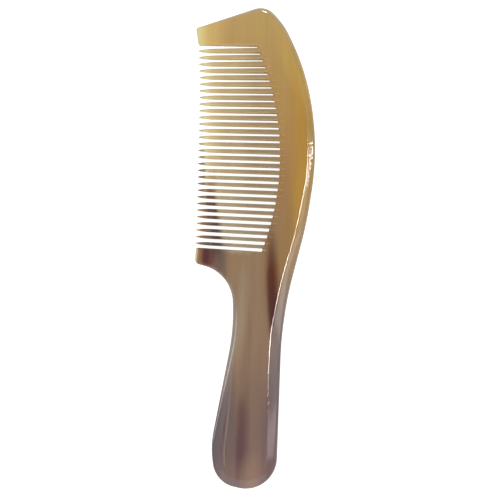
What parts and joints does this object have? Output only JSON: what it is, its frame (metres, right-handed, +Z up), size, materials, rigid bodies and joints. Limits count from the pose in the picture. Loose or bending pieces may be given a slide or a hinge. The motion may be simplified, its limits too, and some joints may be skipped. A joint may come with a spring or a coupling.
{
  "type": "horn comb",
  "caption": "Handled hair comb cut from one slab of polished horn, with fine tapered teeth, a guard tooth, a curved spine and a rounded handle.",
  "frame": {"origin": "centre of the bounding box's bottom face, on the surface that the comb lies on", "axes": "+X from the tips of the teeth to the spine, +Y from the handle up to the head, +Z up through the comb's thickness"},
  "size_m": [0.0454, 0.18, 0.006],
  "materials": {
    "horn": "polished natural horn, streaked from straw and amber to grey-brown and dark red-brown"
  },
  "bodies": {
    "root": {"comb": "horn"}
  },
  "joints": []
}
